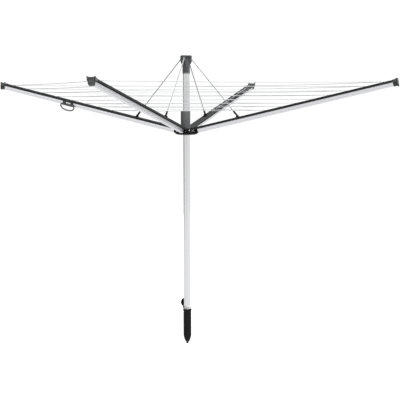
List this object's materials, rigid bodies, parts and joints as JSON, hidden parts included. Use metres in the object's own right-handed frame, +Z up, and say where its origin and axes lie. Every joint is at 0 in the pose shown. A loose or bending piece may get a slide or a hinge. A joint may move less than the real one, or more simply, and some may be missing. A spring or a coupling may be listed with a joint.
{
  "type": "rotary clothesline",
  "caption": "Rotary clothesline: turning mast in a ground socket, sliding hub, arms that fold up on rope stays, and clotheslines strung between the arms.",
  "frame": {"origin": "on the mast's axis at ground level, where the underside of the socket's collar rests on the ground", "axes": "+Z up the mast; the four arms point along +X (right), +Y (back), -X (left, the one with the pull handle) and -Y (front)"},
  "size_m": [3.0992, 3.0992, 2.124],
  "materials": {
    "aluminium": "satin drawn aluminium",
    "steel": "zinc-plated steel",
    "grey_plastic": "dark grey moulded plastic, fine grain",
    "black_plastic": "black moulded plastic",
    "pale_plastic": "pale grey moulded plastic",
    "rope": "white coated cord and braided rope"
  },
  "bodies": {
    "socket": {"ground_socket": "black_plastic", "lid_pin": "steel"},
    "lid": {"socket_lid": "black_plastic"},
    "mast": {"mast_tube": "aluminium", "mast_foot": "black_plastic", "centring_cone": "pale_plastic", "top_cap": "grey_plastic", "right_stay_pin": "steel", "back_stay_pin": "steel", "left_stay_pin": "steel", "front_stay_pin": "steel"},
    "hub": {"hub_base": "black_plastic", "hub_sleeve": "grey_plastic", "slide_bush": "pale_plastic", "right_hinge_pin": "steel", "back_hinge_pin": "steel", "left_hinge_pin": "steel", "front_hinge_pin": "steel"},
    "catch": {"lock_button": "steel"},
    "right_arm": {"right_arm_root": "black_plastic", "right_arm_tube": "aluminium", "right_line_rail": "grey_plastic", "right_end_cap": "grey_plastic", "right_guide_foot": "black_plastic", "right_clotheslines": "rope"},
    "right_stay": {"right_stay_rope": "rope"},
    "right_guide": {"right_rope_guide": "black_plastic"},
    "back_arm": {"back_arm_root": "black_plastic", "back_arm_tube": "aluminium", "back_line_rail": "grey_plastic", "back_end_cap": "grey_plastic", "back_guide_foot": "black_plastic", "back_clotheslines": "rope"},
    "back_stay": {"back_stay_rope": "rope"},
    "back_guide": {"back_rope_guide": "black_plastic"},
    "left_arm": {"left_arm_root": "black_plastic", "left_arm_tube": "aluminium", "left_line_rail": "grey_plastic", "left_end_cap": "grey_plastic", "left_guide_foot": "black_plastic", "left_clotheslines": "rope", "handle_saddle": "grey_plastic"},
    "left_stay": {"left_stay_rope": "rope"},
    "left_guide": {"left_rope_guide": "black_plastic"},
    "front_arm": {"front_arm_root": "black_plastic", "front_arm_tube": "aluminium", "front_line_rail": "grey_plastic", "front_end_cap": "grey_plastic", "front_guide_foot": "black_plastic", "front_clotheslines": "rope"},
    "front_stay": {"front_stay_rope": "rope"},
    "front_guide": {"front_rope_guide": "black_plastic"},
    "handle": {"pull_handle": "grey_plastic"}
  },
  "joints": [
    {"name": "lid_hinge", "type": "hinge", "parent": "socket", "child": "lid", "pos_m": [-0.03141, 0.02635, 0.019], "axis": [-0.6428, -0.766, 0], "range_deg": [0, 95]},
    {"name": "mast_spin", "type": "hinge", "parent": "socket", "child": "mast", "pos_m": [0, 0, 0], "axis": [0, 0, 1], "continuous": true},
    {"name": "hub_slide", "type": "slide", "parent": "mast", "child": "hub", "axis": [0, 0, 1], "range_m": [-0.3596, 0]},
    {"name": "catch_press", "type": "slide", "parent": "hub", "child": "catch", "axis": [-0.7071, 0.7071, 0], "range_m": [0, 0.0025], "stiffness_N_per_m": 400, "springref_m": -0.002},
    {"name": "right_arm_fold", "type": "hinge", "parent": "hub", "child": "right_arm", "pos_m": [0.068, 0, 1.32676], "axis": [0, -1, 0], "range_deg": [0, 74.01], "deforming": ["right_clotheslines"]},
    {"name": "right_stay_swing", "type": "hinge", "parent": "mast", "child": "right_stay", "pos_m": [0.036, 0, 1.857], "axis": [0, 1, 0], "range_deg": [0, 39.59], "deforming": ["right_stay_rope"]},
    {"name": "right_guide_swing", "type": "hinge", "parent": "right_arm", "child": "right_guide", "pos_m": [0.392, 0, 1.44233], "axis": [0, 1, 0], "range_deg": [0, 113.6]},
    {"name": "back_arm_fold", "type": "hinge", "parent": "hub", "child": "back_arm", "pos_m": [0, 0.068, 1.32676], "axis": [1, 0, 0], "range_deg": [0, 74.01], "deforming": ["back_clotheslines"]},
    {"name": "back_stay_swing", "type": "hinge", "parent": "mast", "child": "back_stay", "pos_m": [0, 0.036, 1.857], "axis": [-1, 0, 0], "range_deg": [0, 39.59], "deforming": ["back_stay_rope"]},
    {"name": "back_guide_swing", "type": "hinge", "parent": "back_arm", "child": "back_guide", "pos_m": [0, 0.392, 1.44233], "axis": [-1, 0, 0], "range_deg": [0, 113.6]},
    {"name": "left_arm_fold", "type": "hinge", "parent": "hub", "child": "left_arm", "pos_m": [-0.068, 0, 1.32676], "axis": [0, 1, 0], "range_deg": [0, 74], "deforming": ["left_clotheslines"]},
    {"name": "left_stay_swing", "type": "hinge", "parent": "mast", "child": "left_stay", "pos_m": [-0.036, 0, 1.857], "axis": [0, -1, 0], "range_deg": [0, 39.59], "deforming": ["left_stay_rope"]},
    {"name": "left_guide_swing", "type": "hinge", "parent": "left_arm", "child": "left_guide", "pos_m": [-0.392, 0, 1.44233], "axis": [0, -1, 0], "range_deg": [0, 113.6]},
    {"name": "front_arm_fold", "type": "hinge", "parent": "hub", "child": "front_arm", "pos_m": [0, -0.068, 1.32676], "axis": [-1, 0, 0], "range_deg": [0, 74.01], "deforming": ["front_clotheslines"]},
    {"name": "front_stay_swing", "type": "hinge", "parent": "mast", "child": "front_stay", "pos_m": [0, -0.036, 1.857], "axis": [1, 0, 0], "range_deg": [0, 39.59], "deforming": ["front_stay_rope"]},
    {"name": "front_guide_swing", "type": "hinge", "parent": "front_arm", "child": "front_guide", "pos_m": [0, -0.392, 1.44233], "axis": [1, 0, 0], "range_deg": [0, 113.6]},
    {"name": "handle_swing", "type": "hinge", "parent": "left_arm", "child": "handle", "pos_m": [-0.96228, -0.0235, 1.52288], "axis": [-0.9749, 0, 0.2227], "range_deg": [-5, 80]}
  ],
  "couplings": [
    {"joint": "right_arm_fold", "follows": "left_arm_fold", "ratio": 1},
    {"joint": "right_stay_swing", "follows": "left_arm_fold", "ratio": 0.53481},
    {"joint": "right_guide_swing", "follows": "left_arm_fold", "ratio": 1.5348},
    {"joint": "back_arm_fold", "follows": "left_arm_fold", "ratio": 1},
    {"joint": "back_stay_swing", "follows": "left_arm_fold", "ratio": 0.53481},
    {"joint": "back_guide_swing", "follows": "left_arm_fold", "ratio": 1.5348},
    {"joint": "left_stay_swing", "follows": "left_arm_fold", "ratio": 0.53481},
    {"joint": "left_guide_swing", "follows": "left_arm_fold", "ratio": 1.5348},
    {"joint": "front_arm_fold", "follows": "left_arm_fold", "ratio": 1},
    {"joint": "front_stay_swing", "follows": "left_arm_fold", "ratio": 0.53481},
    {"joint": "front_guide_swing", "follows": "left_arm_fold", "ratio": 1.5348},
    {"joint": "hub_slide", "follows": "left_arm_fold", "m_per_rad": -0.27834}
  ]
}
